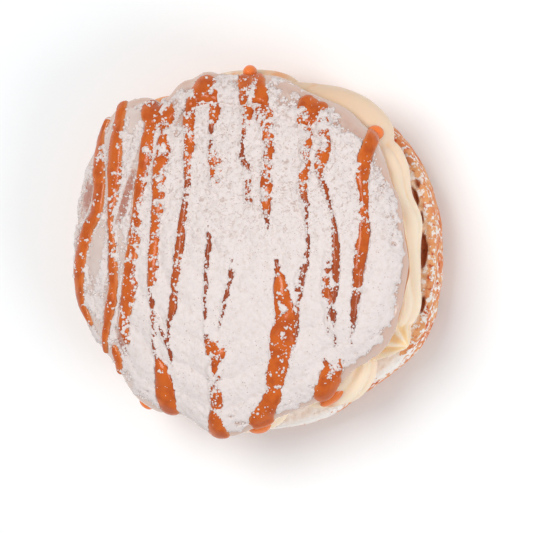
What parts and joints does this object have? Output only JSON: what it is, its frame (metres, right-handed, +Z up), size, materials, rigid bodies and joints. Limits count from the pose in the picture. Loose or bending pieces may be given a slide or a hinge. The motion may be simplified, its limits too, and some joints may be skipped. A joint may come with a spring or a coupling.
{
  "type": "cinnamon scroll",
  "caption": "Round cinnamon scroll cut through level and filled with piped cream, its glazed upper half tilted, with caramel drizzle and icing sugar.",
  "frame": {"origin": "centre of the scroll's box, at the level it rests on", "axes": "+Z up out of the top of the scroll, +X towards the open mouth where the filling is thickest"},
  "size_m": [0.1144, 0.1134, 0.0558],
  "materials": {
    "bread": "matt",
    "cream": "satin",
    "glazed_bread": "gloss",
    "caramel": "gloss",
    "icing_sugar": "matt"
  },
  "bodies": {
    "root": {"base": "bread", "cream": "cream", "lid": "glazed_bread"}
  },
  "joints": []
}
